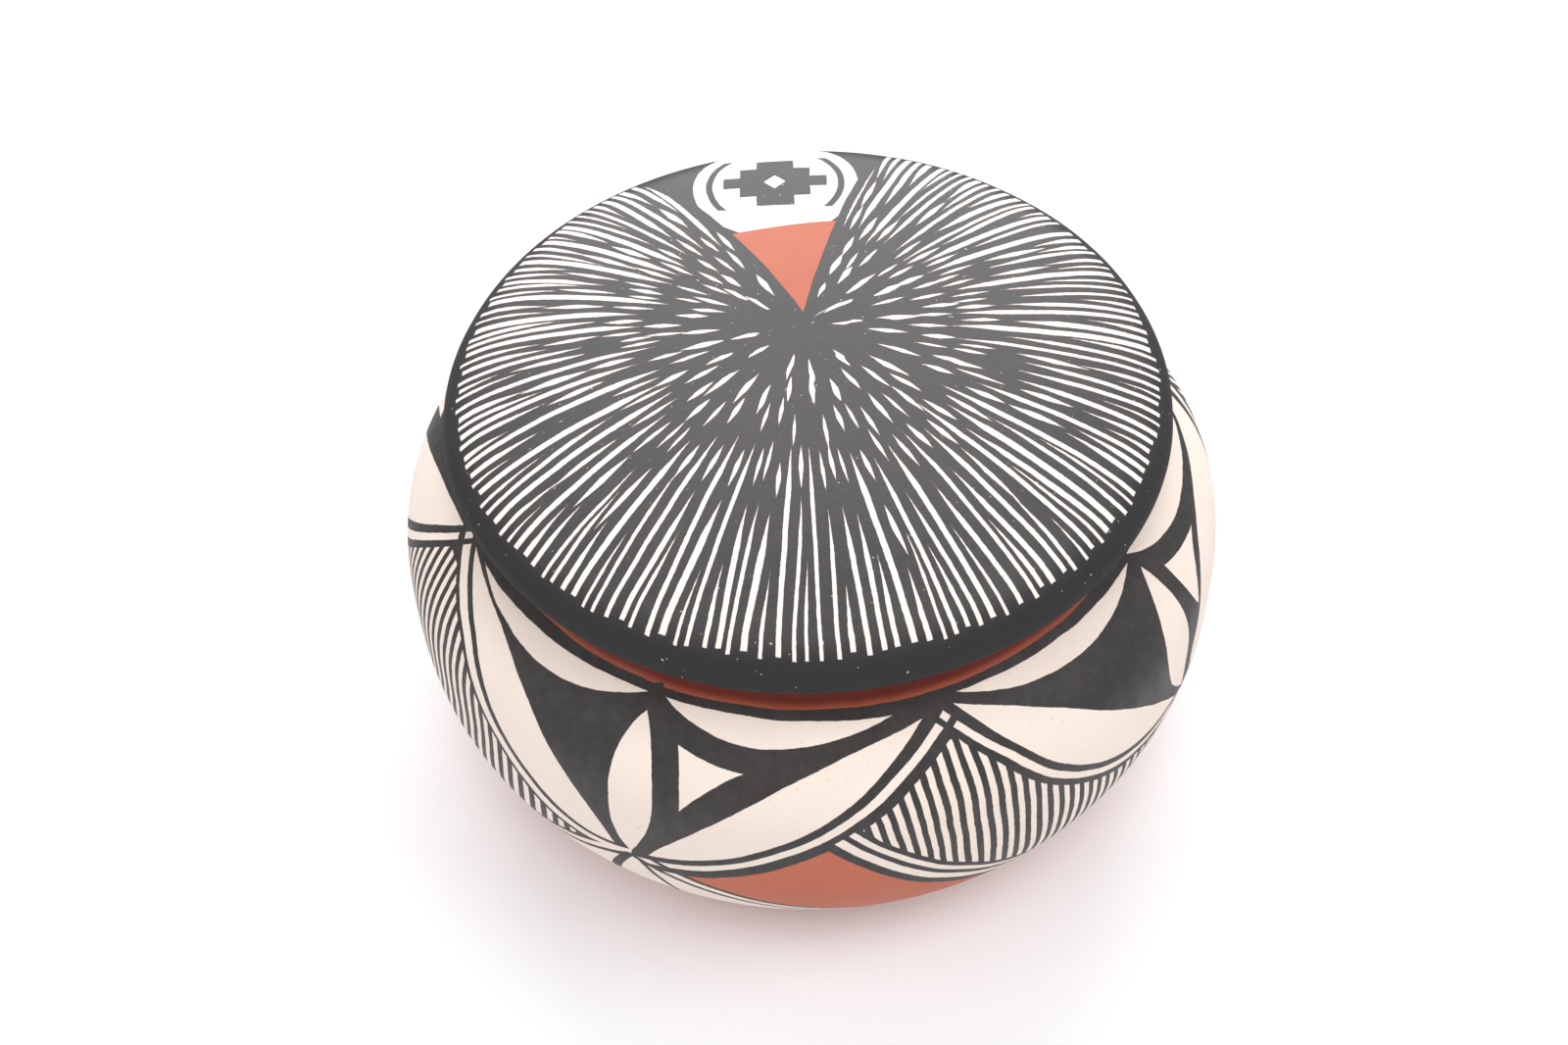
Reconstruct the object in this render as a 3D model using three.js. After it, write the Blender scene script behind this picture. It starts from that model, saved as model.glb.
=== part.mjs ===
// A lidded pottery box of hand-built earthenware: a round jar and the domed lid that rests on its lip.
// Millimetres, +Z up. The origin is the middle of the foot, on the surface that the box stands on.

import * as THREE from "three";

// Driving sizes of the jar.
const bellyRadius = 60;
const bellyHeight = 36.8;
const footRadius = 30;
const lowerFullness = 2.2;
const upperFullness = 3.9;
const mouthRadius = 41;
const lipWidth = 5.6;
const lipRound = 1.6;
const collarFlare = 1.3;
const collarHeight = 6.3;
const shoulderRise = 19.9;
const jarWall = 5;
const floorThickness = 6;

// Driving sizes of the lid.
const lidOverhang = 4.8;
const domeRise = 9.5;
const domeFullness = 2.35;
const rimDrop = 2.2;
const rimUndercut = 3;
const domeThickness = 5;
const ceilingFullness = 2.6;
const flangeThickness = 4.5;
const flangeDrop = 6.5;
const flangeRound = 1.4;

// Clearances between the two.
const seatClearance = 0.3;
const flangeClearance = 0.8;

// How finely the round forms are divided.
const turnSteps = 64;
const wallSteps = 10;
const domeSteps = 12;
const floorSteps = 9;
const roofSteps = 7;
const rimSteps = 4;
const edgeSteps = 3;
const samePoint = 1e-6;

// Radii and heights that follow from the sizes above.
const collarRadius = mouthRadius + lipWidth;
const shoulderRadius = collarRadius + collarFlare;
const lidRadius = collarRadius + lidOverhang;
const flangeRadius = mouthRadius - flangeClearance;
const shoulderHeight = bellyHeight + shoulderRise;
const lipHeight = shoulderHeight + collarHeight;
const undersideHeight = lipHeight + seatClearance;
const rimHeight = undersideHeight + rimDrop;

// A rounded edge takes at most a third of the wall that it rounds.
const lipEdge = Math.min(lipRound, lipWidth / 3);
const flangeEdge = Math.min(flangeRound, flangeThickness / 3);

// The colours of the two fired pieces, as seen from a step away.
const jarClay = new THREE.MeshStandardMaterial({ color: 0xe9dccd, roughness: 0.75, metalness: 0 });
const lidClay = new THREE.MeshStandardMaterial({ color: 0x47464a, roughness: 0.6, metalness: 0 });

// The rise that makes a swelling curve pass through a given radius and height.
function riseThrough(radius, height, widest, fullness) {
  return height / (1 - (radius / widest) ** fullness) ** (1 / fullness);
}

// Points of a swelling curve about the height `level`, from its widest radius in to `innerRadius`.
function swell(widest, rise, fullness, innerRadius, level, steps) {
  const points = [];
  const lastAngle = Math.acos((innerRadius / widest) ** (fullness / 2));
  for (let step = 0; step <= steps; step += 1) {
    const angle = (lastAngle * step) / steps;
    const radius = widest * Math.cos(angle) ** (2 / fullness);
    points.push(new THREE.Vector2(radius, level + rise * Math.sin(angle) ** (2 / fullness)));
  }
  points[steps].x = innerRadius;
  return points;
}

// A quarter of an ellipse from `start` to `end`, leaving `start` upright if `upright` is true, else level.
function quarter(start, end, upright, steps = edgeSteps) {
  const points = [];
  for (let step = 0; step <= steps; step += 1) {
    const angle = ((Math.PI / 2) * step) / steps;
    const across = upright ? 1 - Math.cos(angle) : Math.sin(angle);
    const along = upright ? Math.sin(angle) : 1 - Math.cos(angle);
    points.push(new THREE.Vector2(start.x + (end.x - start.x) * across, start.y + (end.y - start.y) * along));
  }
  return points;
}

// A profile without the points that repeat the one before them.
function joined(...runs) {
  const points = [];
  for (const point of runs.flat()) {
    const last = points[points.length - 1];
    if (!last || last.distanceTo(point) > samePoint) points.push(point);
  }
  return points;
}

// A solid of revolution about Z from a profile that starts and ends on the axis.
function turned(name, profile, material) {
  const geometry = new THREE.LatheGeometry(profile, turnSteps);
  geometry.rotateX(Math.PI / 2);
  const mesh = new THREE.Mesh(geometry, material);
  mesh.name = name;
  return mesh;
}

const at = (radius, height) => new THREE.Vector2(radius, height);

// The jar: foot, belly and shoulder outside, a short collar with a flat lip, and the hollow inside.
function makeJar() {
  const lowerDrop = riseThrough(footRadius, bellyHeight, bellyRadius, lowerFullness);
  const upperRise = riseThrough(shoulderRadius, shoulderRise, bellyRadius, upperFullness);
  const belly = swell(bellyRadius, -lowerDrop, lowerFullness, footRadius, bellyHeight, wallSteps).reverse();
  const shoulder = swell(bellyRadius, upperRise, upperFullness, shoulderRadius, bellyHeight, wallSteps);
  const collarEnd = at(collarRadius, lipHeight - 2 * lipEdge);
  const collar = quarter(at(shoulderRadius, shoulderHeight), collarEnd, false);
  const outerLipStart = at(collarRadius, lipHeight - lipEdge);
  const outerLip = quarter(outerLipStart, at(collarRadius - lipEdge, lipHeight), true);
  const innerLipEnd = at(mouthRadius, lipHeight - lipEdge);
  const innerLip = quarter(at(mouthRadius + lipEdge, lipHeight), innerLipEnd, false);

  const innerRadius = bellyRadius - jarWall;
  const innerRise = upperRise - jarWall;
  const innerDrop = bellyHeight - floorThickness;
  const vault = swell(innerRadius, innerRise, upperFullness, mouthRadius, bellyHeight, roofSteps).reverse();
  const floor = swell(innerRadius, -innerDrop, lowerFullness, 0, bellyHeight, floorSteps);

  const profile = joined([at(0, 0)], belly, shoulder, collar, outerLip, innerLip, vault, floor);
  return turned("jar", profile, jarClay);
}

// The lid: dome and thick rim outside, a flat underside that rests on the lip, and the flange in the mouth.
function makeLid() {
  const flangeFoot = undersideHeight - flangeDrop;
  const flangeInside = flangeRadius - flangeThickness;
  const ceilingRise = rimHeight + domeRise - domeThickness - undersideHeight;

  const dome = swell(lidRadius, domeRise, domeFullness, 0, rimHeight, domeSteps);
  const rimStart = at(lidRadius, rimHeight);
  const rimEnd = at(lidRadius - rimUndercut, undersideHeight);
  const rim = quarter(rimStart, rimEnd, true, rimSteps).reverse();
  const rootStart = at(flangeRadius, undersideHeight - flangeClearance);
  const root = quarter(rootStart, at(flangeRadius + flangeClearance, undersideHeight), true);
  const outerFootEnd = at(flangeRadius, flangeFoot + flangeEdge);
  const outerFoot = quarter(at(flangeRadius - flangeEdge, flangeFoot), outerFootEnd, false);
  const innerFootEnd = at(flangeInside + flangeEdge, flangeFoot);
  const innerFoot = quarter(at(flangeInside, flangeFoot + flangeEdge), innerFootEnd, true);
  const ceiling = swell(flangeInside, ceilingRise, ceilingFullness, 0, undersideHeight, roofSteps).reverse();

  const profile = joined(ceiling, innerFoot, outerFoot, root, rim, dome);
  return turned("lid", profile, lidClay);
}

const box = new THREE.Group();
box.add(makeJar(), makeLid());

export default box;
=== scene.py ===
# A lidded pottery box of hand-built earthenware, painted with white, black and red slips.
# Shapes and painting are worked out in millimetres. Blender's objects are in metres.

import math

import bpy
from mathutils import Matrix, Vector, noise


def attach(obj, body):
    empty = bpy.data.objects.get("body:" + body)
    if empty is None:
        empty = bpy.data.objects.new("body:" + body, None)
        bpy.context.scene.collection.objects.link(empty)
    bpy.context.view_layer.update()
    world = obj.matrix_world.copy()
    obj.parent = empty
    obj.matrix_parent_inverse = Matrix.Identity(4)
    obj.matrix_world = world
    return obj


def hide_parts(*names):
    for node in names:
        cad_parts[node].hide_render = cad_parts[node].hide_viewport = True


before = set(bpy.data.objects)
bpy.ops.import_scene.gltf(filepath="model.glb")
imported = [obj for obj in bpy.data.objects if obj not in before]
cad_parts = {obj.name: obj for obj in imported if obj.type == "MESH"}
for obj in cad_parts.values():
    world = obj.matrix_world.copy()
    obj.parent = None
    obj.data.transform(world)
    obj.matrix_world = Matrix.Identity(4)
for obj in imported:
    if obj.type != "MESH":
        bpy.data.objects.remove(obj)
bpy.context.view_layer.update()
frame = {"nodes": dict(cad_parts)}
mm = 0.001
scene = bpy.context.scene
print("frame loaded:", ", ".join(frame["nodes"]))


# View

view = {
    "imageSize": (1600, 1066),
    "bellyCentre": (827.16, 539.66),  # pixel where the middle of the belly lies
    "lens": 50,
    "sensor": 36,
    "clipStart": 0.01,
    "distance": 329.6,
    "bellyHeight": 36.8,
    "lookDown": 49.67,
    "roll": -0.0281,
}


def placeCamera():
    width, height = view["imageSize"]
    focal = view["lens"] / view["sensor"] * width
    lookDown = math.radians(view["lookDown"])
    away = Vector((0, -math.cos(lookDown), math.sin(lookDown)))
    forward = -away
    right = Vector((1, 0, 0))
    up = right.cross(forward)
    yaw = math.atan((view["bellyCentre"][0] - width / 2) / focal)
    pitch = math.atan(-(view["bellyCentre"][1] - height / 2) / focal * math.cos(yaw))
    forward, right = (
        forward * math.cos(yaw) - right * math.sin(yaw),
        right * math.cos(yaw) + forward * math.sin(yaw),
    )
    forward, up = (
        forward * math.cos(pitch) - up * math.sin(pitch),
        up * math.cos(pitch) + forward * math.sin(pitch),
    )
    right, up = (
        right * math.cos(view["roll"]) + up * math.sin(view["roll"]),
        up * math.cos(view["roll"]) - right * math.sin(view["roll"]),
    )
    camera = bpy.data.objects.new("camera", bpy.data.cameras.new("camera"))
    camera.data.lens = view["lens"]
    camera.data.sensor_width = view["sensor"]
    camera.data.clip_start = view["clipStart"]
    turned = Matrix((right, up, -forward)).transposed().to_4x4()
    spot = away * view["distance"] + Vector((0, 0, view["bellyHeight"]))
    camera.matrix_world = Matrix.Translation(spot * mm) @ turned
    scene.collection.objects.link(camera)
    scene.camera = camera


placeCamera()
print("camera placed")


# Maths for the materials

class Slip:
    # One value in a material's nodes. Sums written with it add Math nodes, & keeps the lesser
    # of two values and | the greater.

    def __init__(self, tree, socket=None):
        self.tree = tree
        self.socket = socket

    def node(self, kind, settings, sockets, output=0):
        made = self.tree.nodes.new("ShaderNode" + kind)
        for name, value in settings.items():
            setattr(made, name, value)
        for name, value in sockets.items():
            if isinstance(value, Slip):
                self.tree.links.new(value.socket, made.inputs[name])
            else:
                made.inputs[name].default_value = value
        return Slip(self.tree, made.outputs[output])

    def other(self, output):
        return Slip(self.tree, self.socket.node.outputs[output])

    def maths(self, operation, *values):
        return self.node("Math", {"operation": operation}, dict(enumerate((self, *values))))

    def vector(self, operation, *values, output=0):
        return self.node("VectorMath", {"operation": operation}, dict(enumerate((self, *values))), output)

    def __add__(self, value):
        return self.maths("ADD", value)

    def __sub__(self, value):
        return self.maths("SUBTRACT", value)

    def __mul__(self, value):
        return self.maths("MULTIPLY", value)

    def __truediv__(self, value):
        return self.maths("DIVIDE", value)

    def __and__(self, value):
        return self.maths("MINIMUM", value)

    def __or__(self, value):
        return self.maths("MAXIMUM", value)

    def __rsub__(self, value):
        return self.node("Math", {"operation": "SUBTRACT"}, {0: value, 1: self})

    def __neg__(self):
        return self * -1

    def __abs__(self):
        return self.maths("ABSOLUTE")

    __radd__ = __add__
    __rmul__ = __mul__
    __rand__ = __and__
    __ror__ = __or__

    def filled(self, level=0.0, soft=0.05):
        # 1 above a level and 0 below it, with a soft step
        ends = {"Value": self, "From Min": level - soft, "From Max": level + soft}
        return self.node("MapRange", {"interpolation_type": "SMOOTHSTEP"}, ends)

    def spread(self, low, high):
        # A share from 0 to 1 as a number between low and high
        return self * (high - low) + low

    def tint(self, under, over):
        # One colour over another, with this value as the share of the upper one
        return self.node("Mix", {"data_type": "RGBA"}, {0: self, 6: under, 7: over}, 2)


pastEnds = 1.5  # how far along, in half lengths from its middle, a leaning line still bows


def edge(spot, start, end, sag=0, lean=0, tails=0):
    # How far a spot lies to the left of a line from start to end, as the page shows them. The line
    # bows to the left by sag, by more towards its end where it leans, and by more near both ends
    # where it has tails.
    half = math.dist(start, end) / 2
    middle = Vector(((start[0] + end[0]) / 2, (start[1] + end[1]) / 2))
    ahead = Vector(((end[0] - start[0]) / 2 / half, (end[1] - start[1]) / 2 / half))
    left = Vector((ahead.y, -ahead.x))
    across = spot.vector("DOT_PRODUCT", (left.x, left.y, 0), output=1) - middle.dot(left)
    if isinstance(sag, Slip) or lean or tails:
        step = spot.vector("DOT_PRODUCT", (ahead.x / half, ahead.y / half, 0), output=1)
        along = (step - middle.dot(ahead) / half) & pastEnds | -pastEnds
        swelling = lean * along + sag
        if isinstance(tails, Slip) or tails:
            swelling = swelling + tails * along * along
        return across - (1 - along * along) * swelling
    if not sag:
        return across
    radius = (half * half + sag * sag) / (2 * abs(sag))
    centre = middle - left * math.copysign(radius - abs(sag), sag)
    away = spot.vector("DISTANCE", (centre.x, centre.y, 0), output=1)
    return (away - radius) & across if sag > 0 else radius - away


def band(value, low, high):
    # How far a value lies inside a band, from its nearer side
    return (high - low) / 2 - abs(value - (high + low) / 2)


def hump(value, middle, reach):
    # 1 in the middle, and falling smoothly to 0 at its reach on both sides
    off = (value - middle) / reach
    rise = (1 - off * off) | 0.0
    return rise * rise


def newMaterial(name):
    material = bpy.data.materials.new(name)
    material.use_nodes = True
    shader = next(n for n in material.node_tree.nodes if n.type == "BSDF_PRINCIPLED")
    return material, Slip(material.node_tree), shader


def feed(slip, shader, socket):
    slip.tree.links.new(slip.socket, shader.inputs[socket])


def grain(slip, place, size, detail=2.0, rough=0.5):
    # Noise with grains of about one size, in millimetres
    return slip.node(
        "TexNoise", {}, {"Vector": place, "Scale": 1 / size, "Detail": detail, "Roughness": rough}
    )


def bumped(slip, shader, height, depth):
    # Relief from a height between 0 and 1, with its full depth in millimetres
    relief = slip.node("Bump", {}, {"Strength": 1.0, "Distance": depth * mm, "Height": height})
    feed(relief, shader, "Normal")


def objectPlace(slip):
    # Where a spot lies on its piece, in millimetres
    place = slip.node("TexCoord", {}, {}, "Object")
    return slip.node("VectorMath", {"operation": "SCALE"}, {0: place, "Scale": 1 / mm})


def handShift(slip, place, size, reach):
    # The unsteady hand moves a line by at most half its reach to each side, in millimetres
    shake = grain(slip, place, size).other("Color").vector("SUBTRACT", (0.5, 0.5, 0.5))
    return shake.vector("MULTIPLY", (reach, reach, 0))


# Slips and clay

slipColours = {
    "white": (0.87, 0.75, 0.668, 1),
    "whiteThin": (0.83, 0.705, 0.605, 1),
    "speck": (0.62, 0.45, 0.34, 1),
    "black": (0.028, 0.025, 0.025, 1),
    "blackThin": (0.057, 0.049, 0.045, 1),
    "red": (0.53, 0.142, 0.074, 1),
    "redThick": (0.46, 0.108, 0.054, 1),
    # the collar's red, darkened as painted shade where the lid overhangs it
    "shadedCollarRed": (0.15, 0.013, 0.004, 1),
    "lidWhite": (0.84, 0.745, 0.70, 1),
    "lidBlack": (0.045, 0.043, 0.044, 1),
    "lidBlackThin": (0.072, 0.064, 0.060, 1),
    "lidRed": (0.44, 0.105, 0.058, 1),
    # a darker black for the lid's rim, as painted shade on its outward side
    "rimShadeBlack": (0.030, 0.028, 0.029, 1),
    "clay": (0.66, 0.52, 0.40, 1),
    "clayDark": (0.55, 0.41, 0.31, 1),
}

slipFinish = {
    "waverGrain": {"size": 0.9, "detail": 3},
    "waver": 0.12,  # mm
    "blotchGrain": {"size": 14, "detail": 4, "rough": 0.6},
    "blotchSoft": 0.25,
    "streakGrain": {"size": 1.6, "detail": 3, "rough": 0.6},
    "streakSoft": 0.3,
    "blackShares": (0.5, 0.3),  # of streaks and of blotches
    "redShares": (0.4, 0.5),
    "lumpShare": 0.7,
    "pitGrain": {"size": 0.7, "detail": 3, "rough": 0.6},
    "pitShare": 0.3,
    "reliefDepth": 0.12,
}

clayFinish = {
    "blotchGrain": {"size": 18, "detail": 4, "rough": 0.6},
    "wipedGrain": {"size": 9, "detail": 3, "rough": 0.6},
    "wipedFlat": 5,  # how many times longer the wiping marks are than they are high
    "fineGrain": {"size": 0.6, "detail": 3},
    "colourShares": (0.6, 0.5),
    "roughness": (0.72, 0.92),
    "reliefShares": (0.6, 0.4),
    "reliefDepth": 0.25,
}


def edgeWaver(slip, place):
    # How far a painted edge wavers to each side, in millimetres
    finish = slipFinish
    return (grain(slip, place, **finish["waverGrain"]).filled(0.5, 0.5) - 0.5) * finish["waver"]


def blotches(slip, place):
    return grain(slip, place, **slipFinish["blotchGrain"]).filled(0.5, slipFinish["blotchSoft"])


def streaks(slip, place):
    return grain(slip, place, **slipFinish["streakGrain"]).filled(0.5, slipFinish["streakSoft"])


def scattered(slip, place, size, detail, level, soft, share=1.0):
    # Small spots, where fine noise rises above a level
    return grain(slip, place, size, detail).filled(level, soft) * share


def brushed(first, second, shares, under, over):
    # One slip colour over another, by a share of each of two patterns
    return (first * shares[0] + second * shares[1]).tint(slipColours[under], slipColours[over])


def slipRelief(slip, shader, place, lumps):
    # Soft lumps of one size, with fine pits
    finish = slipFinish
    lumpy = grain(slip, place, lumps) * finish["lumpShare"]
    pitted = grain(slip, place, **finish["pitGrain"]) * finish["pitShare"]
    bumped(slip, shader, lumpy + pitted, finish["reliefDepth"])


def clayMaterial(name):
    # Bare fired clay, wiped smooth by hand
    finish = clayFinish
    material, slip, shader = newMaterial(name)
    place = objectPlace(slip)
    blotch = grain(slip, place, **finish["blotchGrain"])
    flattened = place.vector("MULTIPLY", (1, 1, finish["wipedFlat"]))
    wiped = grain(slip, flattened, **finish["wipedGrain"])
    fine = grain(slip, place, **finish["fineGrain"])
    feed(brushed(blotch, wiped, finish["colourShares"], "clay", "clayDark"), shader, "Base Color")
    feed(blotch.spread(*finish["roughness"]), shader, "Roughness")
    wipedShare, fineShare = finish["reliefShares"]
    bumped(slip, shader, wiped * wipedShare + fine * fineShare, finish["reliefDepth"])
    return material


# Turning, for both pieces

wheel = {
    "slow": {"height": 60, "rate": 1.3, "share": 0.45},  # the two waves that a coiled wall has
    "quick": {"height": 40, "rate": 3.5, "share": 0.25},
    "alongMargin": 0.01,  # kept free at the sides of each strip of the map
    "aroundMargin": 0.002,
    "sharpAngle": 50,
    "samePoint": 1e-4,
}


def swell(widest, rise, fullness, innerRadius, level, steps=400):
    lastAngle = math.acos((innerRadius / widest) ** (fullness / 2))
    points = []
    for step in range(steps + 1):
        angle = lastAngle * step / steps
        radius = widest * math.cos(angle) ** (2 / fullness)
        points.append((radius, level + rise * math.sin(angle) ** (2 / fullness)))
    points[-1] = (innerRadius, points[-1][1])
    return points


def quarter(start, end, upright, steps=24):
    points = []
    for step in range(steps + 1):
        angle = math.pi / 2 * step / steps
        across = 1 - math.cos(angle) if upright else math.sin(angle)
        along = math.sin(angle) if upright else 1 - math.cos(angle)
        points.append((start[0] + (end[0] - start[0]) * across, start[1] + (end[1] - start[1]) * along))
    return points


def evenly(points, spacing):
    # The same line with its points an even distance apart
    lengths = [0]
    for before, after in zip(points, points[1:]):
        lengths.append(lengths[-1] + math.dist(before, after))
    count = max(1, round(lengths[-1] / spacing))
    even = []
    at = 0
    for step in range(count + 1):
        want = lengths[-1] * step / count
        while at < len(points) - 2 and lengths[at + 1] < want:
            at += 1
        before, after = points[at], points[at + 1]
        share = (want - lengths[at]) / max(lengths[at + 1] - lengths[at], wheel["samePoint"])
        even.append((before[0] + (after[0] - before[0]) * share, before[1] + (after[1] - before[1]) * share))
    even[-1] = points[-1]
    return even


def riseThrough(radius, height, widest, fullness):
    return height / (1 - (radius / widest) ** fullness) ** (1 / fullness)


def joinRuns(runs):
    # One profile from (points, finish) runs, each point with its finish and its length along the profile
    profile = []
    length = 0
    for points, finish in runs:
        for point in points:
            if profile:
                gap = math.dist(point, profile[-1]["place"])
                if gap < wheel["samePoint"]:
                    continue
                length += gap
            profile.append({"place": point, "finish": finish, "length": length})
    return profile


def outOfRound(direction, height, seed):
    # Coiled walls are never quite round: a share from -1 to 0, so that nothing swells past its size
    share = -0.5
    for wave, start in (wheel["slow"], (seed, 0, 0)), (wheel["quick"], (0, seed, 0)):
        place = Vector((direction.x, direction.y, height / wave["height"])) * wave["rate"]
        share += wave["share"] * noise.noise(place + Vector(start))
    return max(-1.0, min(0.0, share))


def layMap(mesh, profile, turns, corners, finishes, bands):
    # A map to bake the colours onto: each finish has its own band of it, as one strip for the
    #  whole turn or one over another for its halves
    reach = {}
    for at, point in enumerate(profile):
        start, _ = reach.get(point["finish"], (profile[max(at - 1, 0)]["length"], 0))
        reach[point["finish"]] = (start, point["length"])
    along, across = wheel["alongMargin"], wheel["aroundMargin"]
    flat = []
    for spots, finish in zip(corners, finishes):
        mapBand = bands[finish]
        start, end = reach[finish]
        strip = int(min(around for around, _ in spots)) * mapBand["strips"] // turns
        for around, at in spots:
            share = (profile[at]["length"] - start) / (end - start) * (1 - 2 * along) + along
            flat.append((around / turns * mapBand["strips"] - strip) * (1 - 2 * across) + across)
            flat.append(mapBand["low"] + (strip + share) / mapBand["strips"] * mapBand["height"])
    mesh.uv_layers.new(name="OFBake").data.foreach_set("uv", flat)


def turnPiece(name, profile, shape, materials, zero):
    # A closed solid of revolution whose profile starts and ends on the axis. Its wallLength is
    # measured along the profile from zero.
    turns = shape["turns"]
    rings = profile[1:-1]
    vertices = [(0, 0, profile[0]["place"][1] * mm)]
    lengths = [profile[0]["length"] - zero]
    directions = []
    for turn in range(turns):
        angle = 2 * math.pi * turn / turns
        directions.append(Vector((math.cos(angle), math.sin(angle), 0)))
    for point in rings:
        radius, height = point["place"]
        for direction in directions:
            out = radius * (1 + shape["wobble"] / 100 * outOfRound(direction, height, shape["wobbleSeed"]))
            vertices.append((direction.x * out * mm, direction.y * out * mm, height * mm))
            lengths.append(point["length"] - zero)
    vertices.append((0, 0, profile[-1]["place"][1] * mm))
    lengths.append(profile[-1]["length"] - zero)

    faces = []
    finishes = []
    corners = []  # each face's corners, as steps round the turn and points of the profile
    last = len(vertices) - 1
    for turn in range(turns):
        after = (turn + 1) % turns
        faces.append((0, 1 + after, 1 + turn))
        finishes.append(rings[0]["finish"])
        corners.append([(turn + 0.5, 0), (turn + 1, 1), (turn, 1)])
        for ring in range(len(rings) - 1):
            low = 1 + ring * turns
            high = low + turns
            faces.append((low + turn, low + after, high + after, high + turn))
            finishes.append(rings[ring + 1]["finish"])
            corners.append([(turn, ring + 1), (turn + 1, ring + 1), (turn + 1, ring + 2), (turn, ring + 2)])
        top = 1 + (len(rings) - 1) * turns
        faces.append((top + turn, top + after, last))
        finishes.append(profile[-1]["finish"])
        corners.append([(turn, len(rings)), (turn + 1, len(rings)), (turn + 0.5, len(rings) + 1)])

    mesh = bpy.data.meshes.new(name)
    mesh.from_pydata(vertices, [], faces)
    for material in materials:
        mesh.materials.append(material)
    mesh.polygons.foreach_set("material_index", finishes)
    mesh.attributes.new("wallLength", "FLOAT", "POINT").data.foreach_set("value", lengths)
    layMap(mesh, profile, turns, corners, finishes, shape["mapBands"])
    mesh.shade_smooth()
    mesh.set_sharp_from_angle(angle=math.radians(wheel["sharpAngle"]))
    piece = bpy.data.objects.new(name, mesh)
    scene.collection.objects.link(piece)
    return piece


# Jar

jarShape = {
    "bellyRadius": 60,
    "bellyHeight": 36.8,
    "footRadius": 30,
    "lowerFullness": 2.2,
    "upperFullness": 3.9,
    "mouthRadius": 41,
    "lipWidth": 5.6,
    "lipRound": 1.6,
    "collarFlare": 1.3,
    "collarHeight": 6.3,
    "shoulderRise": 19.9,
    "wall": 5,
    "floor": 6,
    "turns": 256,
    "spacing": 1.2,
    "edgeSpacing": 0.3,
    "collarSpacing": 0.6,
    "lipSpacing": 0.8,
    "vaultSpacing": 2.0,
    "floorSpacing": 2.5,
    "wobble": 0.35,  # per cent of the radius
    "wobbleSeed": 2.7,
    "mapBands": [
        {"strips": 2, "low": 0.23, "height": 0.77},
        {"strips": 1, "low": 0.07, "height": 0.16},
        {"strips": 1, "low": 0, "height": 0.07},
    ],
}

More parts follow.
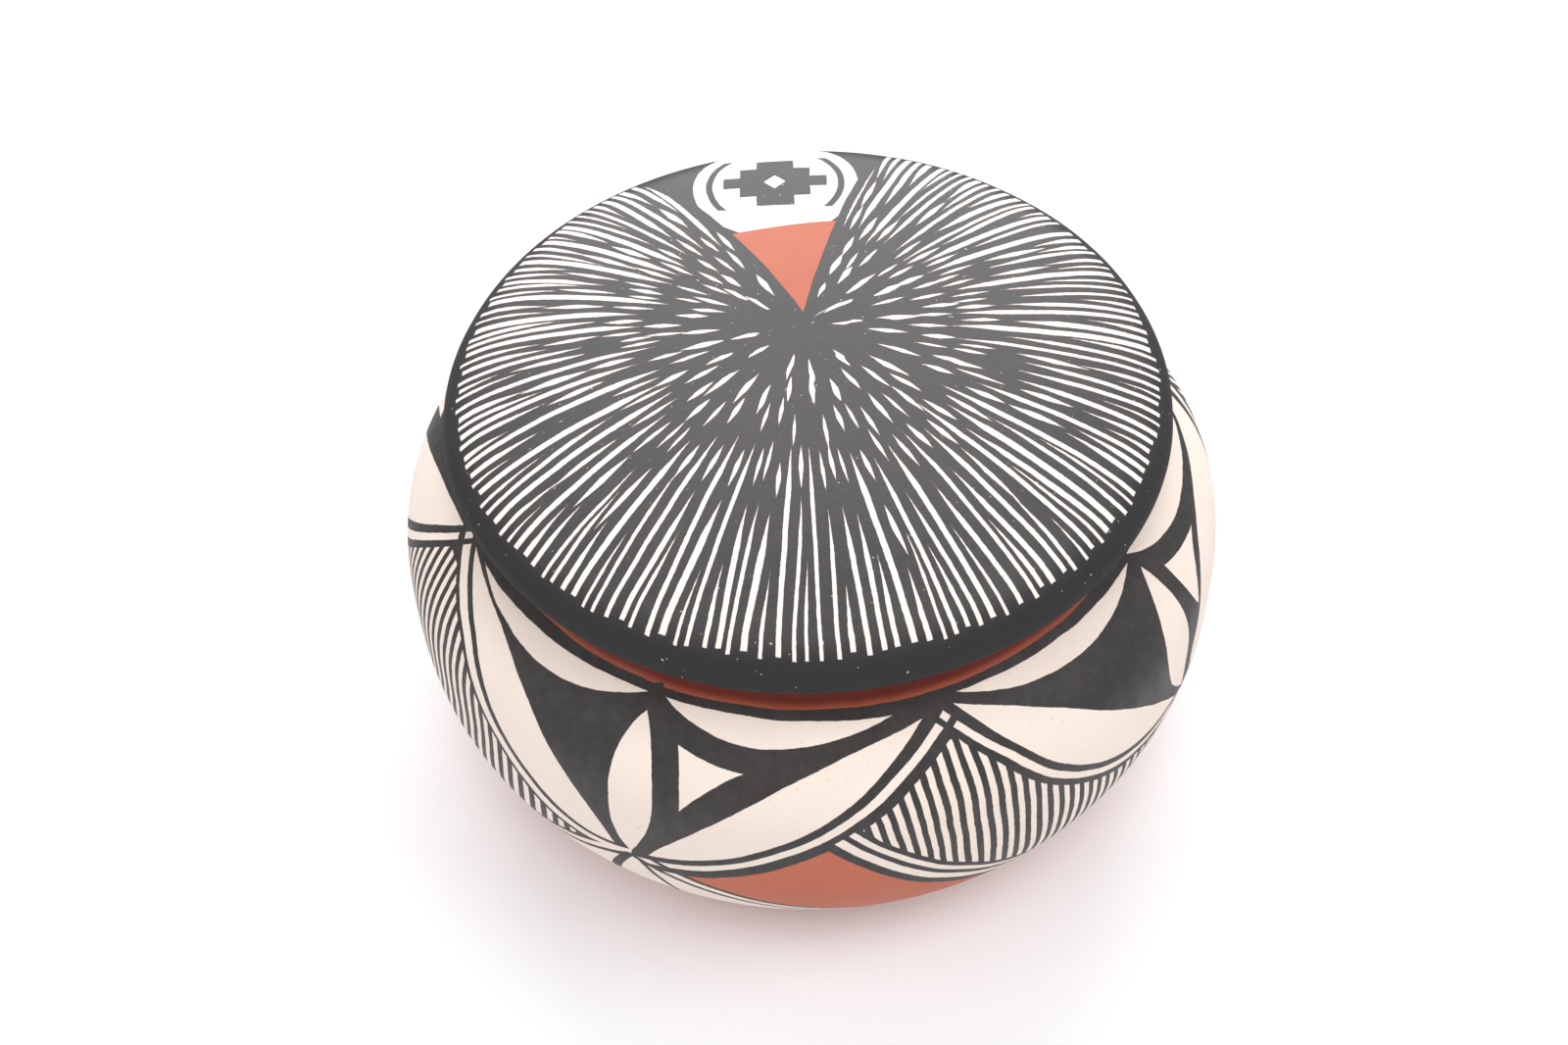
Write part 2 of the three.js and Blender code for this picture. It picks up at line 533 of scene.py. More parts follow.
# Places on the jar's painting are (degrees along the wall from the middle of a panel, mm down the wall
# from the collar). The hand wasn't the same all round: a value with "plain" in it may have another one
# for the panel to the left or to the right of the middle one.
jarPainting = {
    "panelWidth": 90,
    "crossing": 18.8,  # where the middle of a panel lies, in degrees round from the front
    "drifts": [  # where the panels lie a little to one side, in degrees round from the front
        {"middle": 60, "reach": 42, "slip": 2.2},
        {"middle": -25.5, "reach": 44, "slip": -0.7},
    ],
    "handSize": 9,  # how long and how far the hand strays, in millimetres
    "handReach": 0.7,
    "leftLeafUnder": {
        "start": (-42.5, 28.9),
        "end": (-3.2, 3.2),
        "sag": {"plain": -2.65, "left": -4.65},
        "lean": {"plain": 1.2, "left": 0},
    },
    "leftLeafOver": {
        "start": (-3.2, 3.2),
        "end": (-42.5, 28.9),
        "sag": {"plain": -5.2, "left": -6.0, "right": -8.6},
        "lean": {"plain": -0.4, "right": -9.6},
    },
    "rightLeafUnder": {
        "start": (2.2, 2.5),
        "end": (42.5, 29),
        "sag": {"plain": -5.8, "left": 0.35},
        "lean": {"plain": -1.8, "left": -5.8},
        "tails": {"plain": 0, "left": -4.5},
    },
    "rightLeafOver": {
        "start": (2.2, 2.5),
        "end": (42.5, 29),
        "sag": {"plain": 2.8, "left": 7.6},
        "lean": {"plain": -0.5, "left": 1.1},
    },
    "parting": {"middle": 3, "reach": 9, "width": {"plain": 0.7, "left": 0}},  # of lines from leaves
    "crescents": [  # each with how far it is pushed out of sight
        {
            "shape": {"start": (-43, 1.2), "end": (-7.5, 1.8), "sag": -3.9, "lean": 1.0},
            "hidden": {"plain": 0, "right": 50},
        },
        {
            "shape": {"start": (-44.5, 1.2), "end": (-1, 2), "sag": -5, "tails": -4},
            "hidden": {"plain": 50, "right": 0},
        },
        {
            "shape": {"start": (3.5, 1.1), "end": (44.2, 1.9), "sag": -3.5},
            "hidden": {"plain": 0, "left": 50},
        },
        {
            "shape": {"start": (6.2, 2.2), "end": (43.8, 1.35), "sag": -3.4, "lean": -1.1},
            "hidden": {"plain": 50, "left": 0},
        },
    ],
    "seed": {
        "middle": 16.6,
        "half": 12.8,
        "leftWidth": {"plain": 6.6, "left": 2.4},
        "leftTips": {"plain": 0, "left": 2.5},
        "rightWidth": {"plain": 3.8, "right": -0.3},
        "rightSlant": 0.6,
        "blunt": 12,
    },
    "triangle": {
        "corners": [(-39, 6.8), (-37.5, 16), (-29.3, 8.9)],
        "sags": [{"plain": 0.45, "right": -0.85}, {"plain": 0.6, "right": 1.4}, 0.4],
        "nudge": {"plain": 0, "right": 3.1},
    },
    "leftLine": (1.35, 2.6),  # how far below its leaf a line starts and ends
    "rightLine": ({"plain": 1.2, "left": 0.9}, {"plain": 2.4, "left": 2.3}),
    "rightLineDip": {"middle": 28, "reach": 16, "share": {"plain": 0, "left": 0.25}},
    "leftClear": 3.7,  # how far below its leaf the lines of the other side start
    "rightClear": 3.5,
    "footEdge": {"start": (-42, 29.4), "end": (-8, 44.8), "sag": -0.7},
    "otherFootEdge": {"start": (8, 44.5), "end": (42, 29.1), "sag": -0.7},
    "footLine": (-2.2, -0.9),
    "slantEdge": {"start": (-17.9, 21.2), "end": (10, 45), "sag": -1.1, "lean": 0.5},
    "slantLines": [(1.5, 2.9), (3.85, 4.85)],
    "slantClear": 3.8,  # how far below the left leaf they start
    "hatching": {
        "pitch": 1.88,
        "half": 0.46,
        "shift": 0.3,
        "lean": {"from": 14, "share": 0.1, "growth": 0.013},
        "curl": {"from": 19, "share": 0.022, "growth": 0.0005},  # in the left panel, where none lean
        "slantClear": 5.8,
        "rightClear": {"plain": 3.6, "left": 3.0},
        "leftClear": {"plain": 4.3, "left": 3.6},
        "top": {"plain": 6.9, "left": 6.0},
    },
    "lower": {
        "top": 30.2,
        "bottom": 48,
        "gap": 3.1,
        "leftClear": 4.2,
        "seedMiddle": 45,
        "seedHalf": 15.2,
        "seedWidth": 4.8,
        "lineLeft": 0.45,
        "lineRight": 0.75,
    },
    "red": {"clear": 4.6, "top": 10, "baseTop": 49.5},
    "bareBelow": 73,
    "blot": {"place": (-25.4, 1.2), "radius": 1.7, "ragged": 10},  # a drop of the black slip
    # the soft step into the painted shade on the collar, up the wall from the shoulder
    "collarShadeStep": {"level": 0.3, "soft": 1.05},
    "fleck": {"size": 0.6, "detail": 1, "level": 0.74, "soft": 0.06, "share": 0.4},
    "whiteThinShare": 0.5,
    "streakFlow": 0.3,
    "roughness": 0.62,
    "whiteRoughness": 0.1,
    "streakRoughness": -0.08,
    "gloss": 0.4,
    "lumps": 6,  # mm across
}


def jarProfile():
    shape = jarShape
    painted, bare, underFoot = range(3)
    belly, bellyHeight, mouth = shape["bellyRadius"], shape["bellyHeight"], shape["mouthRadius"]
    collarRadius = mouth + shape["lipWidth"]
    shoulderRadius = collarRadius + shape["collarFlare"]
    shoulderHeight = bellyHeight + shape["shoulderRise"]
    lipHeight = shoulderHeight + shape["collarHeight"]
    lipEdge = min(shape["lipRound"], shape["lipWidth"] / 3)
    drop = riseThrough(shape["footRadius"], bellyHeight, belly, shape["lowerFullness"])
    rise = riseThrough(shoulderRadius, shape["shoulderRise"], belly, shape["upperFullness"])
    lower = swell(belly, -drop, shape["lowerFullness"], shape["footRadius"], bellyHeight)[::-1]
    upper = swell(belly, rise, shape["upperFullness"], shoulderRadius, bellyHeight)
    collar = quarter((shoulderRadius, shoulderHeight), (collarRadius, lipHeight - 2 * lipEdge), False)
    outerLip = quarter((collarRadius, lipHeight - lipEdge), (collarRadius - lipEdge, lipHeight), True)
    innerLip = quarter((mouth + lipEdge, lipHeight), (mouth, lipHeight - lipEdge), False)
    inner = belly - shape["wall"]
    vault = swell(inner, rise - shape["wall"], shape["upperFullness"], mouth, bellyHeight)[::-1]
    floorDrop = bellyHeight - shape["floor"]
    bowl = swell(inner, -floorDrop, shape["lowerFullness"], 0, bellyHeight)

    spacing, fine, lipSpacing = shape["spacing"], shape["edgeSpacing"], shape["lipSpacing"]
    foot = evenly([(0, 0), (shape["footRadius"], 0)], shape["floorSpacing"])
    runs = [(foot, underFoot), (evenly(lower, spacing), painted), (evenly(upper, spacing), painted)]
    below = joinRuns(runs)[-1]["length"]
    runs += [
        (evenly(collar, shape["collarSpacing"]), painted),
        (evenly(outerLip, fine), painted),
        (evenly([outerLip[-1], innerLip[0]], lipSpacing), painted),
        (evenly(innerLip, fine), painted),
        (evenly([innerLip[-1], vault[0]], lipSpacing), painted),
        (evenly(vault, shape["vaultSpacing"]), bare),
        (evenly(bowl, shape["floorSpacing"]), bare),
    ]
    return joinRuns(runs), below


def jarPattern(slip, place, azimuth, down):
    # How far inside the white slip and inside the red slip a spot lies, and how far down the wall the
    # hand takes it to lie, in millimetres
    painting = jarPainting
    panelWidth = painting["panelWidth"]
    halfPanel = panelWidth / 2

    # The hand's drift along the wall, and the panel that a spot lies in
    turned = azimuth - painting["crossing"]
    for drift in painting["drifts"]:
        turned = turned + hump(azimuth, drift["middle"], drift["reach"]) * drift["slip"]
    panel = ((turned + halfPanel) / panelWidth).maths("FLOOR")
    isLeft = panel.maths("COMPARE", -1, 0.5)
    isRight = panel.maths("COMPARE", 1, 0.5)
    spot = slip.node("CombineXYZ", {}, {0: turned - panel * panelWidth, 1: down})
    spot = spot.vector("ADD", handShift(slip, place, painting["handSize"], painting["handReach"]))
    across = slip.node("SeparateXYZ", {}, {0: spot})
    down = across.other("Y")

    def byPanel(value):
        if not isinstance(value, dict):
            return value
        total = value["plain"]
        for side, isThere in (("left", isLeft), ("right", isRight)):
            if side in value:
                total = isThere * (value[side] - value["plain"]) + total
        return total

    def drawn(line):
        return edge(spot, **{key: byPanel(value) for key, value in line.items()})

    # Leaves
    leftUnder = drawn(painting["leftLeafUnder"])
    rightUnder = drawn(painting["rightLeafUnder"])
    white = leftUnder & drawn(painting["leftLeafOver"])
    white = white | (rightUnder & -drawn(painting["rightLeafOver"]))
    parting = painting["parting"]
    parted = hump(down, parting["middle"], parting["reach"]) * byPanel(parting["width"])
    leftLine = -leftUnder - parted
    rightLine = -rightUnder - parted

    # Crescents under the collar
    for crescent in painting["crescents"]:
        start, end = crescent["shape"]["start"], crescent["shape"]["end"]
        filled = edge(spot, end, start) & drawn(crescent["shape"])
        white = white | (filled - byPanel(crescent["hidden"]))

    # Seeds between the panels
    seed = painting["seed"]
    level = (down - seed["middle"]) / seed["half"]
    rise = 1 - level * level
    seedLeft = rise * (level * level * byPanel(seed["leftTips"]) + byPanel(seed["leftWidth"]))
    seedRight = rise * (byPanel(seed["rightWidth"]) - level * seed["rightSlant"])
    seeds = (across - halfPanel + seedLeft) | (seedRight - halfPanel - across)
    white = white | (seeds & (rise * seed["blunt"]))

    # Triangle between a seed and a leaf
    triangle = painting["triangle"]
    nudged = spot.vector("ADD", slip.node("CombineXYZ", {}, {0: byPanel(triangle["nudge"])}))
    corners = triangle["corners"]
    sides = []
    for at, sag in enumerate(triangle["sags"]):
        sides.append(edge(nudged, corners[at], corners[(at + 1) % len(corners)], byPanel(sag)))
    white = white | (sides[0] & sides[1] & sides[2])

    # Double lines under the leaves, which cross at the top of the panel
    leftWhite = band(leftLine, *painting["leftLine"])
    dip = painting["rightLineDip"]
    dipped = rightLine * (1 - hump(across, dip["middle"], dip["reach"]) * byPanel(dip["share"]))
    lineStart, lineEnd = painting["rightLine"]
    rightWhite = band(dipped, byPanel(lineStart), byPanel(lineEnd))
    footEdge = drawn(painting["footEdge"])
    footWhite = band(footEdge, *painting["footLine"])
    white = white | (leftWhite & rightWhite)
    white = white | (leftWhite & (rightLine - painting["rightClear"]) & footEdge)
    white = white | (rightWhite & (leftLine - painting["leftClear"])) | (leftWhite & footWhite)

    # Slanting double line beside the red field
    slantEdge = drawn(painting["slantEdge"])
    otherFootEdge = drawn(painting["otherFootEdge"])
    inside = (leftLine - painting["slantClear"]) & otherFootEdge
    for start, end in painting["slantLines"]:
        white = white | (band(slantEdge, start, end) & inside)

    # Hatching
    hatching = painting["hatching"]
    lean, curl = hatching["lean"], hatching["curl"]
    leaning = (down - lean["from"]) * ((-across | 0.0) * lean["growth"] + lean["share"])
    past = down - curl["from"]
    curling = past * past * (curl["share"] - across * curl["growth"])
    bent = across - leaning * (1 - isLeft) + curling * isLeft
    stripes = hatching["half"] - (bent - hatching["shift"]).maths("PINGPONG", hatching["pitch"] / 2)
    beside = (dipped - byPanel(hatching["rightClear"])) & (leftLine - byPanel(hatching["leftClear"]))
    hatched = stripes & (slantEdge - hatching["slantClear"]) & beside & inside
    white = white | (hatched & (down - byPanel(hatching["top"])))

    # Lower leaves and the seed that hangs between them
    lower = painting["lower"]
    low = (down - lower["seedMiddle"]) / lower["seedHalf"]
    hanging = halfPanel - abs(across) - (1 - low * low) * lower["seedWidth"]
    thickness = across.filled(0, 0.5).spread(lower["lineLeft"], lower["lineRight"])
    leaves = (-lower["gap"] - footEdge) | (footWhite & (leftLine - lower["leftClear"]))
    leaves = leaves | (-lower["gap"] - otherFootEdge) | band(otherFootEdge, *painting["footLine"])
    within = (lower["bottom"] - down) & (down - lower["top"])
    white = white | (leaves & (abs(hanging) - thickness) & within)

    # Red fields, the base and the collar
    field = (leftLine - painting["red"]["clear"]) & footEdge & -slantEdge & (down - painting["red"]["top"])
    red = field | (down - painting["red"]["baseTop"]) | -down
    return white, red, down


def jarPaint():
    painting = jarPainting
    material, slip, shader = newMaterial("jarPaint")
    place = objectPlace(slip)
    split = slip.node("SeparateXYZ", {}, {0: place})
    azimuth = split.maths("ARCTAN2", -split.other("Y")) * (180 / math.pi)
    down = slip.node("Attribute", {"attribute_name": "wallLength"}, {}, "Fac") * -1
    white, red, down = jarPattern(slip, place, azimuth, down)

    rough = edgeWaver(slip, place)
    blot = slip.node("CombineXYZ", {}, {0: azimuth, 1: down})
    blot = blot.vector("DISTANCE", (*painting["blot"]["place"], 0), output=1)
    blot = blot + rough * painting["blot"]["ragged"] - painting["blot"]["radius"]
    whiteMask = (white + rough & blot).filled()
    redMask = (red + rough & blot).filled()

    # Colours, a little uneven as hand-laid slip is, with painted shade on the red collar under the lid
    blotch = blotches(slip, place)
    streak = streaks(slip, place.vector("MULTIPLY", (1, 1, painting["streakFlow"])))
    flecked = scattered(slip, place, **painting["fleck"])
    whiteColour = (blotch * painting["whiteThinShare"]).tint(slipColours["white"], slipColours["whiteThin"])
    whiteColour = flecked.tint(whiteColour, slipColours["speck"])
    blackColour = brushed(streak, blotch, slipFinish["blackShares"], "black", "blackThin")
    redColour = brushed(streak, blotch, slipFinish["redShares"], "red", "redThick")
    # Painted shade: the red collar under the lid's overhang gets a much darker red than the body
    underLidShade = (-down).filled(**painting["collarShadeStep"])
    redColour = underLidShade.tint(redColour, slipColours["shadedCollarRed"])
    colour = redMask.tint(whiteMask.tint(blackColour, whiteColour), redColour)
    clayColour = blotch.tint(slipColours["clay"], slipColours["clayDark"])
    colour = (down + rough - painting["bareBelow"]).filled().tint(colour, clayColour)
    feed(colour, shader, "Base Color")
    roughness = painting["roughness"] + whiteMask * painting["whiteRoughness"]
    feed(roughness + streak * painting["streakRoughness"], shader, "Roughness")
    shader.inputs["Specular IOR Level"].default_value = painting["gloss"]
    slipRelief(slip, shader, place, painting["lumps"])
    return material


def makeJar():
    profile, below = jarProfile()
    materials = [jarPaint(), clayMaterial("jarClay"), clayMaterial("footClay")]
    piece = turnPiece("paintedJar", profile, jarShape, materials, below)
    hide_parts("jar")
    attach(piece, "jar")
    return piece


jar = makeJar()
print("jar made:", len(jar.data.polygons), "faces")


# Lid

lidShape = {
    "overhang": 4.8,
    "domeRise": 9.5,
    "domeFullness": 2.35,
    "rimDrop": 2.2,
    "rimUndercut": 3,
    "domeThickness": 5,
    "ceilingFullness": 2.6,
    "flangeThickness": 4.5,
    "flangeDrop": 6.5,
    "flangeRound": 1.4,
    "seatClearance": 0.3,
    "flangeClearance": 0.8,
    "turns": 256,
    "spacing": 1.2,
    "edgeSpacing": 0.3,
    "flangeSpacing": 0.8,
    "ceilingSpacing": 2.0,
    "wobble": 0.5,  # per cent of the radius
    "wobbleSeed": 8.1,
    "mapBands": [
        {"strips": 2, "low": 0.15, "height": 0.85},
        {"strips": 1, "low": 0, "height": 0.15},
    ],
}

# Places on the lid's painting are (mm to the right of the axis, mm towards the front).
lidPainting = {
    "fieldRadius": 49.25,
    "handSize": 11,  # how long and how far the hand strays, in millimetres
    "handReach": 0.5,
    "wedgeLeft": {"start": (-24.5, -43.4), "end": (-0.2, -7.4), "sag": 1.6},
    "wedgeRight": {"start": (-0.2, -7.4), "end": (12.3, -48.4), "sag": 0.9},
    "wedgeGap": 1.35,
    "redSide": {"start": (5.1, -27.4), "end": (-10.2, -25), "sag": -0.4},
    "patch": {"centre": (-3.9, -37.7), "halves": (12.4, 13.6), "scale": 12, "pastField": 1.3},
    "diamond": {
        "centre": (-3.9, -38.2),
        "steps": [(7.8, 1.5), (5.3, 4), (2.8, 6.5)],  # half widths and half heights
        "eye": 1.9,
        "eyeSlope": 1.15,
    },
    "brackets": {"band": (0.76, 0.84), "half": 7.2},
    "rimFade": {"level": -1.5, "soft": 2.5},
    "fleck": {"size": 0.5, "detail": 2, "level": 0.68, "soft": 0.06},
    "whiteShares": (0.35, 0.25),
    "speck": {"size": 0.45, "detail": 0, "level": 0.86, "soft": 0.03, "share": 0.6},
    "roughness": 0.46,
    "whiteRoughness": 0.15,
    "streakRoughness": 0.08,
    "rimRoughness": 0.4,
    "gloss": 0.35,
    "lumps": 7,  # mm across
}

# The brush strokes point at a middle of their own. Places along them run from 0 there to fullReach at
# the edge of the field, whichever way they point, and come as (least, most).
lidStrokes = {
    "middle": (-0.5, -4.8),
    "fullReach": 50,
    "ringWaves": 0.28,  # how much the rings wave in and out
    "turnWaver": {"grain": 0.2, "share": 0.008},
    "leaning": {"middle": -80, "reach": 65, "share": 0.00025},
    "cramped": {"middle": -5, "reach": 65, "share": 0.18},  # strokes get thinner towards the front
    "aside": {"from": 31, "over": 16, "most": 0.16},  # towards the edge a stroke makes room for one more
    "later": {"away": 0.3, "back": 0.8},  # and that one lies to its other side
    "sideSeed": 901,
    "longSlope": 0.01,
    "shortSlope": 0.04,
    "tip": 6,  # how long a stroke takes to reach its full width
    "taper": 1.4,
    "thickness": (0.72, 1.3),
    "thicknessSeed": 0.71,
    "keepSeed": 0.37,
    "cut": 1000,  # makes a kept share into a plain yes or no
    "pastEdge": 0.1,
    "blunt": 0.8,
    "count": 58,  # strokes in a ring, where it says nothing else
    "stray": 0.042,  # how far they stray sideways, as a share of the room for one
    # Each ring's strokes: where they start, their half width and which share of them is kept. Those
    # without a length run to the edge. A shift moves the ring by a share of the room for one stroke.
    "rings": [
        {"count": 13, "seed": 103, "start": (4, 6.5), "width": 0.42, "keep": (0, 0.85), "stray": 0.24,
         "length": (3, 5.5)},
        {"count": 28, "seed": 207, "start": (8.5, 12.5), "width": 0.4, "keep": (0, 0.8), "stray": 0.18,
         "length": (4, 6.5)},
        {"seed": 311, "start": (13.5, 18), "width": 0.32, "keep": (0, 0.9), "stray": 0.096,
         "length": (4.5, 6)},
        {"seed": 419, "start": (20.5, 25), "width": 0.38, "keep": (0, 0.8)},
        {"seed": 419, "start": (20, 23), "width": 0.32, "keep": (0.8, 1), "length": (4.5, 6.5)},
        {"seed": 419, "start": (30, 33), "width": 0.38, "keep": (0.8, 1)},
        {"seed": 523, "start": (20.5, 24), "width": 0.32, "keep": (0, 0.9), "shift": 0.5,
         "length": (5, 7.5)},
        {"seed": 629, "start": (28.5, 32), "width": 0.37, "keep": (0, 0.58), "shift": 0.5, "drift": "aside"},
        {"seed": 629, "start": (29, 31.5), "width": 0.42, "keep": (0.58, 0.95), "shift": 0.5,
         "length": (7.5, 11)},
        {"seed": 629, "start": (37.5, 41), "width": 0.38, "keep": (0.58, 1), "shift": 0.5, "drift": "aside"},
        {"seed": 731, "start": (35, 44.5), "width": 0.33, "keep": (0, 0.92), "shift": 0.5, "drift": "later"},
    ],
}


def lidProfile():
    shape = lidShape
    painted, bare = range(2)
    collarRadius = jarShape["mouthRadius"] + jarShape["lipWidth"]
    lipHeight = jarShape["bellyHeight"] + jarShape["shoulderRise"] + jarShape["collarHeight"]
    radius = collarRadius + shape["overhang"]
    flange = jarShape["mouthRadius"] - shape["flangeClearance"]
    underside = lipHeight + shape["seatClearance"]
    rimHeight = underside + shape["rimDrop"]
    flangeEdge = min(shape["flangeRound"], shape["flangeThickness"] / 3)
    flangeFoot = underside - shape["flangeDrop"]
    flangeInside = flange - shape["flangeThickness"]
    ceilingRise = rimHeight + shape["domeRise"] - shape["domeThickness"] - underside

    dome = swell(radius, shape["domeRise"], shape["domeFullness"], 0, rimHeight)
    rim = quarter((radius, rimHeight), (radius - shape["rimUndercut"], underside), True)[::-1]
    clearance = shape["flangeClearance"]
    root = quarter((flange, underside - clearance), (flange + clearance, underside), True)
    outerFoot = quarter((flange - flangeEdge, flangeFoot), (flange, flangeFoot + flangeEdge), False)
    innerFootStart = (flangeInside, flangeFoot + flangeEdge)
    innerFoot = quarter(innerFootStart, (flangeInside + flangeEdge, flangeFoot), True)
    ceiling = swell(flangeInside, ceilingRise, shape["ceilingFullness"], 0, underside)[::-1]

    spacing, fine = shape["spacing"], shape["edgeSpacing"]
    return joinRuns([
        (evenly(ceiling, shape["ceilingSpacing"]), bare),
        (evenly([ceiling[-1], innerFoot[0]], spacing), bare),
        (evenly(innerFoot, fine), bare),
        (evenly([innerFoot[-1], outerFoot[0]], shape["flangeSpacing"]), bare),
        (evenly(outerFoot, fine), bare),
        (evenly([outerFoot[-1], root[0]], spacing), bare),
        (evenly(root, fine), bare),
        (evenly([root[-1], rim[0]], spacing), bare),
        (evenly(rim, fine), painted),
        (evenly(dome, spacing), painted),
    ])


def chance(slip, draw, output="Value"):
    # What each whole number draws for itself
    return slip.node("TexWhiteNoise", {"noise_dimensions": "1D"}, {"W": draw}, output)


def strokeRing(slip, lie, ring):
    # How far inside one ring's strokes a spot lies. lie tells where the spot is: its share of the turn,
    # its distance from the middle as widths and as lengths are to count it, and the drifts there.
    brush = lidStrokes
    isLong = "length" not in ring
    count = ring.get("count", brush["count"])
    place = lie["turn"] * count + ring.get("shift", 0.0)
    cell = place.maths("FLOOR")
    own = cell + ring["seed"]
    draws = slip.node("SeparateColor", {}, {0: chance(slip, own, "Color")})
    travel = lie["reach"] - draws.other("Green").spread(*ring["start"])
    stray = ring.get("stray", brush["stray"])
    off = (place - cell) - draws.spread(0.5 - stray, 0.5 + stray) - lie["drifts"][ring.get("drift", "none")]
    slope = brush["longSlope"] if isLong else brush["shortSlope"]
    slant = travel * draws.other("Blue").spread(-slope, slope)
    across = off * lie["cramped"] * (2 * math.pi / count) + slant
    if isLong:
        body = (travel / brush["tip"]) & 1.0
    else:
        half = draws.other("Blue").spread(*ring["length"]) / 2
        body = 1 - abs(travel / half - 1).maths("POWER", brush["taper"])
    thick = chance(slip, own + brush["thicknessSeed"])
    thin, broad = brush["thickness"]
    field = body * thick.spread(ring["width"] * thin, ring["width"] * broad) - abs(across)
    if isLong:
        field = field & (brush["fullReach"] + brush["pastEdge"] - lie["reach"] - thick * brush["blunt"])
    kept = band(chance(slip, own + brush["keepSeed"]), *ring["keep"])
    return field & (kept * brush["cut"])


def allStrokes(slip, page):
    # How far inside any brush stroke a spot lies, in millimetres
    brush = lidStrokes
    full = brush["fullReach"]
    middle = page.vector("SUBTRACT", (*brush["middle"], 0))
    away = middle.vector("LENGTH", output=1)
    inward = middle.vector("DOT_PRODUCT", (*brush["middle"], 0), output=1) / away
    spare = lidPainting["fieldRadius"] ** 2 - brush["middle"][0] ** 2 - brush["middle"][1] ** 2
    edgeAway = (inward * inward + spare).maths("SQRT") - inward  # to the edge of the field, that way
    parts = slip.node("SeparateXYZ", {}, {0: middle})
    azimuth = parts.maths("ARCTAN2", parts.other("Y")) * (180 / math.pi)
    uneven = grain(slip, middle.vector("NORMALIZE"), brush["turnWaver"]["grain"])
    reach = away / edgeAway * full
    reach = reach + (uneven - 0.5) * (full - reach) * brush["ringWaves"]
    leaning, cramped = brush["leaning"], brush["cramped"]
    leans = hump(azimuth, leaning["middle"], leaning["reach"]) * (full - reach) * leaning["share"]
    turn = azimuth / 360 + uneven * brush["turnWaver"]["share"] + leans

    # Each gap between strokes leans to one side, and what comes later in it leans back
    gap = (turn * brush["count"] + 0.5).maths("FLOOR")
    side = chance(slip, gap + brush["sideSeed"]).filled(0.5, 0.001) * 2 - 1  # -1 or 1
    outward = ((reach - brush["aside"]["from"]) / brush["aside"]["over"] & 1.0) | 0.0
    aside = side * outward * brush["aside"]["most"]
    lie = {
        "turn": turn,
        "cramped": away * (hump(azimuth, cramped["middle"], cramped["reach"]) * cramped["share"] + 1),
        "reach": reach,
        "drifts": {
            "none": 0.0,
            "aside": aside,
            "later": aside * brush["later"]["back"] - side * brush["later"]["away"],
        },
    }
    white = strokeRing(slip, lie, brush["rings"][0])
    for ring in brush["rings"][1:]:
        white = white | strokeRing(slip, lie, ring)
    return white


def lidPattern(slip, place):
    # How far inside the white slip, the red slip and the round field a spot lies, in millimetres
    painting = lidPainting
    page = place.vector("MULTIPLY", (1, -1, 0))
    page = page.vector("ADD", handShift(slip, place, painting["handSize"], painting["handReach"]))
    onField = painting["fieldRadius"] - page.vector("LENGTH", output=1)

    # Wedge at the back, with a red tip and a round white patch
    wedge = edge(page, **painting["wedgeLeft"]) & edge(page, **painting["wedgeRight"])
    redSide = edge(page, **painting["redSide"])
    patch = painting["patch"]
    halfWidth, halfHeight = patch["halves"]
    fromPatch = page.vector("SUBTRACT", (*patch["centre"], 0))
    patchReach = fromPatch.vector("MULTIPLY", (1 / halfWidth, 1 / halfHeight, 0)).vector("LENGTH", output=1)
    white = wedge & -redSide & ((1 - patchReach) * patch["scale"]) & (onField + patch["pastField"])

    # A stepped diamond between two brackets, in the round patch
    parts = slip.node("SeparateXYZ", {}, {0: page})
    diamond = painting["diamond"]
    side = abs(parts - diamond["centre"][0])
    up = abs(parts.other("Y") - diamond["centre"][1])
    brackets = band(patchReach, *painting["brackets"]["band"]) * patch["scale"]
    dark = brackets & (painting["brackets"]["half"] - up)
    eye = side * diamond["eyeSlope"] + up - diamond["eye"]
    for stepWidth, stepHeight in diamond["steps"]:
        dark = dark | ((stepWidth - side) & (stepHeight - up) & eye)
    white = white & -dark

    field = onField & (-wedge - painting["wedgeGap"])
    return white | (allStrokes(slip, page) & field), wedge & redSide, onField


def lidPaint():
    painting = lidPainting
    material, slip, shader = newMaterial("lidPaint")
    place = objectPlace(slip)
    white, red, onField = lidPattern(slip, place)
    rough = edgeWaver(slip, place)
    whiteMask = (white + rough).filled()
    redMask = (red + rough).filled()

    blotch = blotches(slip, place)
    streak = streaks(slip, place)
    flecked = scattered(slip, place, **painting["fleck"])
    specked = scattered(slip, place, **painting["speck"])
    whiteColour = brushed(blotch, flecked, painting["whiteShares"], "lidWhite", "white")
    blackColour = brushed(streak, blotch, slipFinish["blackShares"], "lidBlack", "lidBlackThin")
    # Painted shade: the black darkens towards the rim, outside the painted field, and the rim is also
    # rougher
    onRim = (-onField).filled(**painting["rimFade"])
    blackColour = onRim.tint(blackColour, slipColours["rimShadeBlack"])
    blackColour = specked.tint(blackColour, slipColours["whiteThin"])
    redColour = brushed(streak, blotch, slipFinish["redShares"], "lidRed", "red")
    feed(redMask.tint(whiteMask.tint(blackColour, whiteColour), redColour), shader, "Base Color")
    roughness = painting["roughness"] + whiteMask * painting["whiteRoughness"]
    roughness = roughness + streak * painting["streakRoughness"] + onRim * painting["rimRoughness"]
    feed(roughness, shader, "Roughness")
    shader.inputs["Specular IOR Level"].default_value = painting["gloss"]
    slipRelief(slip, shader, place, painting["lumps"])
    return material


def makeLid():
    materials = [lidPaint(), clayMaterial("lidClay")]
    piece = turnPiece("paintedLid", lidProfile(), lidShape, materials, 0)
    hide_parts("lid")
    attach(piece, "lid")
    return piece


lid = makeLid()
print("lid made:", len(lid.data.polygons), "faces")


# Room

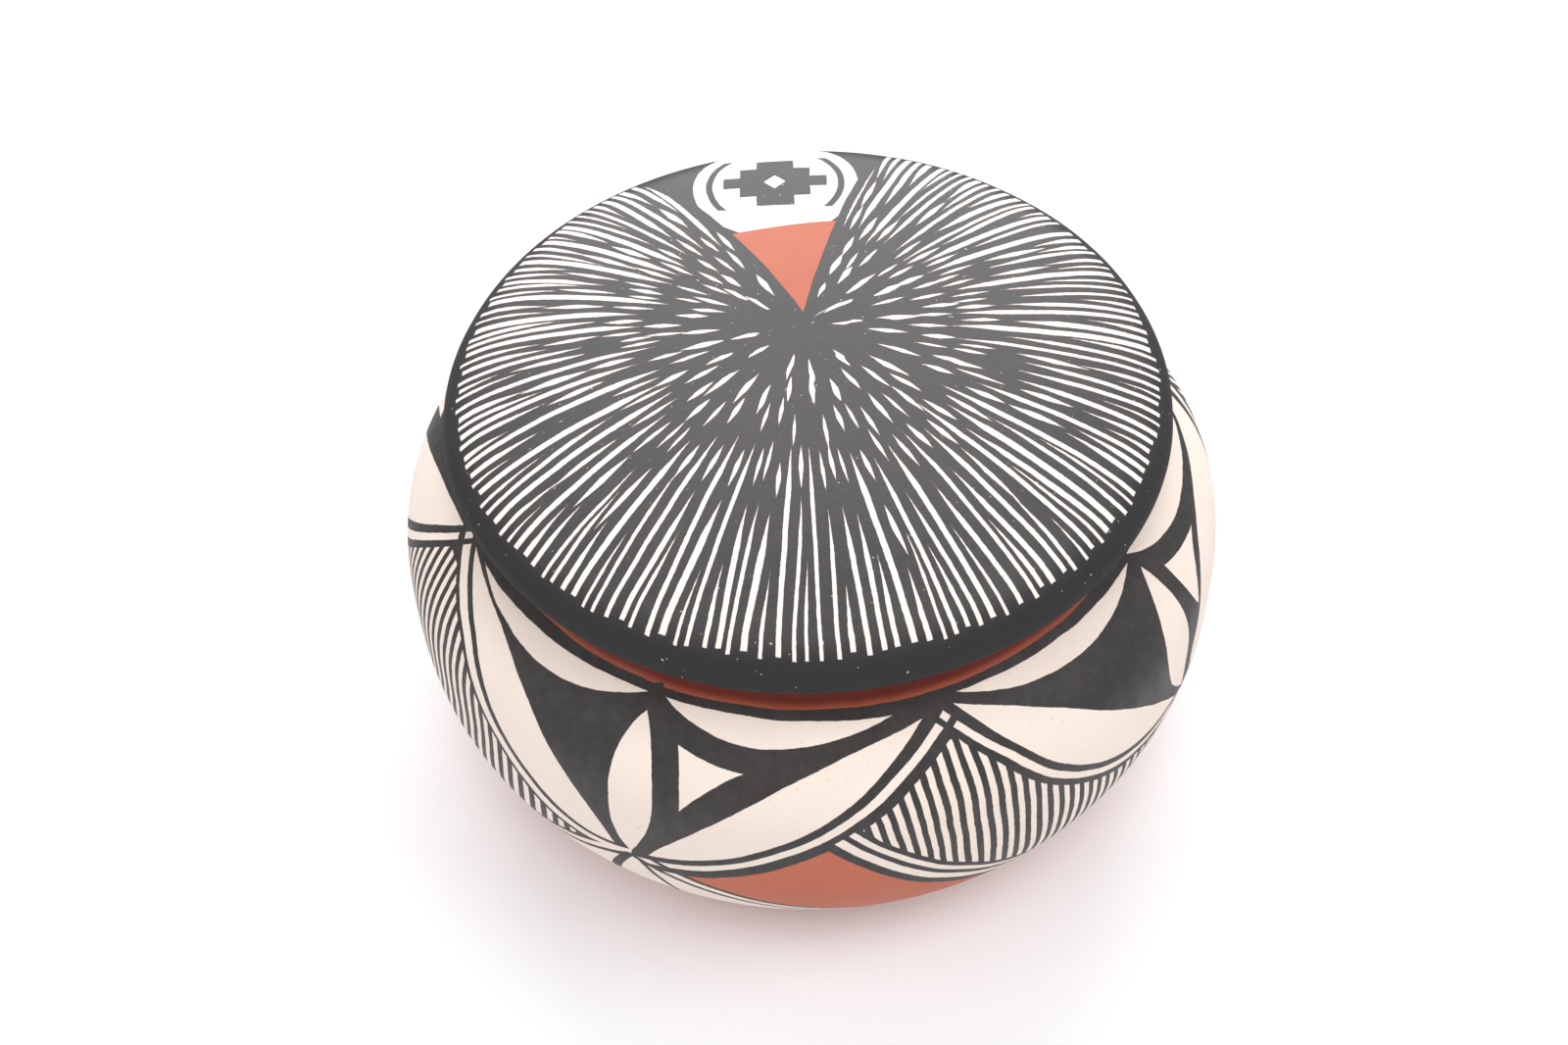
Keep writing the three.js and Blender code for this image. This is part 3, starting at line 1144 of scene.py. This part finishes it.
room = {
    "floorHalf": 3.0,
    "floorColour": (0.85, 0.85, 0.86, 1),
    "floorRoughness": 0.9,
    "floorGloss": 0.1,
    "floorGlow": 0.05,
    "skyColour": (0.95, 0.985, 1.03, 1),
    "sky": 0.38,
    "lampsAimAt": (0, 0, 0.04),
    "lamps": [
        # where it hangs and its size, in metres, how bright its face is, and whether it shows in the gloss
        {"place": (0.0, 0.68, 0.50), "size": 0.8, "glow": 3.6, "gleams": True},
        {"place": (0.0, -0.45, 0.80), "size": 0.42, "glow": 5.5, "gleams": False},
        {"place": (0.52, -0.20, 0.72), "size": 0.45, "glow": 4.0, "gleams": True},
        {"place": (-0.62, -0.22, 0.60), "size": 0.45, "glow": 2.4, "gleams": True},
    ],
}


def makeFloor():
    half = room["floorHalf"]
    mesh = bpy.data.meshes.new("floor")
    corners = [(-half, -half, 0), (half, -half, 0), (half, half, 0), (-half, half, 0)]
    mesh.from_pydata(corners, [], [(0, 1, 2, 3)])
    floor = bpy.data.objects.new("floor", mesh)
    scene.collection.objects.link(floor)
    material, _, shader = newMaterial("paleFloor")
    shader.inputs["Base Color"].default_value = room["floorColour"]
    shader.inputs["Roughness"].default_value = room["floorRoughness"]
    shader.inputs["Specular IOR Level"].default_value = room["floorGloss"]
    shader.inputs["Emission Color"].default_value = (1, 1, 1, 1)
    shader.inputs["Emission Strength"].default_value = room["floorGlow"]
    mesh.materials.append(material)


def makeLights():
    world = bpy.data.worlds.new("studio")
    scene.world = world
    world.use_nodes = True
    background = next(n for n in world.node_tree.nodes if n.type == "BACKGROUND")
    background.inputs["Color"].default_value = room["skyColour"]
    background.inputs["Strength"].default_value = room["sky"]
    for number, lamp in enumerate(room["lamps"]):
        light = bpy.data.lights.new(f"softLamp{number}", "AREA")
        light.shape = "SQUARE"
        light.size = lamp["size"]
        light.energy = lamp["glow"] * math.pi * lamp["size"] ** 2
        holder = bpy.data.objects.new(light.name, light)
        holder.location = lamp["place"]
        aim = Vector(room["lampsAimAt"]) - Vector(lamp["place"])
        holder.rotation_euler = aim.to_track_quat("-Z", "Y").to_euler()
        holder.visible_glossy = lamp["gleams"]
        scene.collection.objects.link(holder)


makeFloor()
makeLights()
scene.view_settings.view_transform = "Standard"
print("floor and lamps placed")
